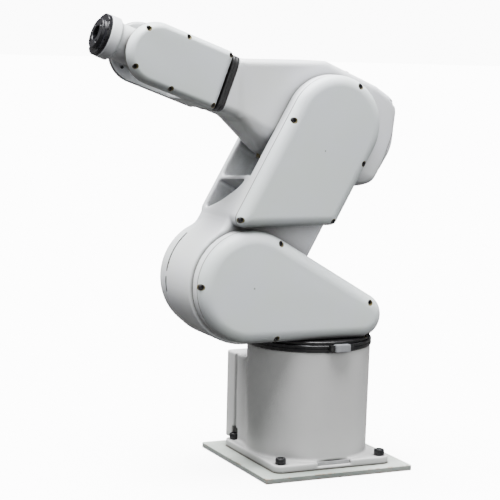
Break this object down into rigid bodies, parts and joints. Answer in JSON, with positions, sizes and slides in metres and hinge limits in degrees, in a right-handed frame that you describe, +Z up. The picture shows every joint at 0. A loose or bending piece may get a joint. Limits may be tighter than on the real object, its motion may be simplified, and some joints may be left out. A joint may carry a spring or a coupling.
{
  "type": "small six-axis articulated robot arm",
  "caption": "Small articulated robot arm on a square plate: turning turret, swinging lower arm, elbow, rolling forked forearm and bending wrist with a tool flange.",
  "frame": {"origin": "on the turret's upright axis, on the underside of the mounting plate", "axes": "+Z up, +X towards the front of the base and -X its connector side; at rest the arm reaches toward -Y with its belt covers toward +X"},
  "size_m": [0.225, 0.4329, 0.608],
  "materials": {
    "arm_paint": "satin off-white paint on cast aluminium",
    "cover_paint": "satin moulded covers, slightly bluer",
    "base_paint": "matte grey-white paint on cast aluminium",
    "plate_paint": "worn white paint, pale green-grey edges",
    "black_steel": "black oxide",
    "black_rubber": "matte",
    "steel": "ground",
    "motor": "black anodised",
    "brass": "plain",
    "aluminium": "plain"
  },
  "bodies": {
    "base": {"mounting_plate": "plate_paint", "base_casting": "base_paint", "connector_panel": "aluminium", "power_connector": "motor", "signal_connector": "motor", "air_inlet_1": "brass", "air_inlet_2": "brass", "base_bolt_1": "black_steel", "base_bolt_2": "black_steel", "base_bolt_3": "black_steel", "base_bolt_4": "black_steel", "j1_motor": "motor", "j1_reducer": "steel", "turret_bearing": "black_steel", "turret_stop": "aluminium"},
    "turret": {"turret_casting": "arm_paint", "shoulder_cover": "cover_paint", "j2_motor": "motor", "j2_belt": "black_rubber", "j2_reducer": "steel"},
    "j2_motor_wheel": {"j2_motor_pulley": "aluminium"},
    "j2_input_wheel": {"j2_input_pulley": "aluminium"},
    "lower_arm": {"lower_arm_casting": "arm_paint", "lower_arm_cover": "cover_paint", "shoulder_cap": "arm_paint", "j3_motor": "motor", "j3_belt": "black_rubber", "j3_reducer": "steel", "elbow_bearing": "steel"},
    "j3_motor_wheel": {"j3_motor_pulley": "aluminium"},
    "j3_input_wheel": {"j3_input_pulley": "aluminium"},
    "upper_arm": {"elbow_casting": "arm_paint", "elbow_rear_cover": "arm_paint", "j4_motor": "motor", "j4_reducer": "steel", "air_fitting_1": "brass", "air_fitting_2": "brass", "forearm_seal": "black_rubber"},
    "wrist_unit": {"wrist_housing": "arm_paint", "wrist_cover_near": "cover_paint", "wrist_cover_far": "cover_paint", "j4_drive_shaft": "steel", "j5_motor": "motor", "j5_belt": "black_rubber", "j6_motor": "motor", "j6_belt": "black_rubber"},
    "j5_motor_wheel": {"j5_motor_pulley": "aluminium"},
    "j6_motor_wheel": {"j6_motor_pulley": "aluminium"},
    "j6_wheel": {"j6_pulley": "aluminium"},
    "wrist": {"wrist_neck": "arm_paint", "j5_pulley": "aluminium"},
    "flange": {"tool_flange": "black_steel"}
  },
  "joints": [
    {"name": "turret_turn", "type": "hinge", "parent": "base", "child": "turret", "pos_m": [0, 0, 0.1763], "axis": [0, 0, 1], "range_deg": [-70, 250]},
    {"name": "lower_arm_swing", "type": "hinge", "parent": "turret", "child": "lower_arm", "pos_m": [0, -0.12, 0.2565], "axis": [1, 0, 0], "range_deg": [-31, 159]},
    {"name": "upper_arm_swing", "type": "hinge", "parent": "lower_arm", "child": "upper_arm", "pos_m": [0, -0.00219, 0.46903], "axis": [-1, 0, 0], "range_deg": [-30, 219]},
    {"name": "forearm_roll", "type": "hinge", "parent": "upper_arm", "child": "wrist_unit", "pos_m": [0, -0.24651, 0.55796], "axis": [0, -0.9397, 0.342], "range_deg": [-360, 360]},
    {"name": "wrist_bend", "type": "hinge", "parent": "wrist_unit", "child": "wrist", "pos_m": [0, -0.24651, 0.55796], "axis": [1, 0, 0], "range_deg": [-116, 116]},
    {"name": "flange_roll", "type": "hinge", "parent": "wrist", "child": "flange", "pos_m": [0, -0.24651, 0.55796], "axis": [0, -0.9397, 0.342], "range_deg": [-360, 360]},
    {"name": "j5_motor_spin", "type": "hinge", "parent": "wrist_unit", "child": "j5_motor_wheel", "pos_m": [0.04, -0.16514, 0.54909], "axis": [1, 0, 0], "range_deg": [-194.4, 194.4]},
    {"name": "j6_wheel_spin", "type": "hinge", "parent": "wrist_unit", "child": "j6_wheel", "pos_m": [0, -0.24651, 0.55796], "axis": [1, 0, 0], "range_deg": [-361, 361]},
    {"name": "j6_motor_spin", "type": "hinge", "parent": "wrist_unit", "child": "j6_motor_wheel", "pos_m": [-0.04, -0.17847, 0.51244], "axis": [1, 0, 0], "range_deg": [-601, 601]},
    {"name": "j2_input_spin", "type": "hinge", "parent": "turret", "child": "j2_input_wheel", "pos_m": [0, -0.12, 0.2565], "axis": [1, 0, 0], "range_deg": [-12721, 2481]},
    {"name": "j2_motor_spin", "type": "hinge", "parent": "turret", "child": "j2_motor_wheel", "pos_m": [0.065, 0.038, 0.2125], "axis": [1, 0, 0], "range_deg": [-29076.3, 5670.6]},
    {"name": "j3_input_spin", "type": "hinge", "parent": "lower_arm", "child": "j3_input_wheel", "pos_m": [0, -0.00219, 0.46903], "axis": [-1, 0, 0], "range_deg": [-17521, 2401]},
    {"name": "j3_motor_spin", "type": "hinge", "parent": "lower_arm", "child": "j3_motor_wheel", "pos_m": [0.065, -0.10882, 0.35092], "axis": [-1, 0, 0], "range_deg": [-45347.9, 6213.8]}
  ],
  "couplings": [
    {"joint": "j5_motor_spin", "follows": "wrist_bend", "ratio": 1.6667},
    {"joint": "j6_wheel_spin", "follows": "flange_roll", "ratio": 1},
    {"joint": "j6_motor_spin", "follows": "flange_roll", "ratio": 1.6667},
    {"joint": "j2_input_spin", "follows": "lower_arm_swing", "ratio": -80},
    {"joint": "j2_motor_spin", "follows": "lower_arm_swing", "ratio": -182.86},
    {"joint": "j3_input_spin", "follows": "upper_arm_swing", "ratio": -80},
    {"joint": "j3_motor_spin", "follows": "upper_arm_swing", "ratio": -207.06}
  ]
}
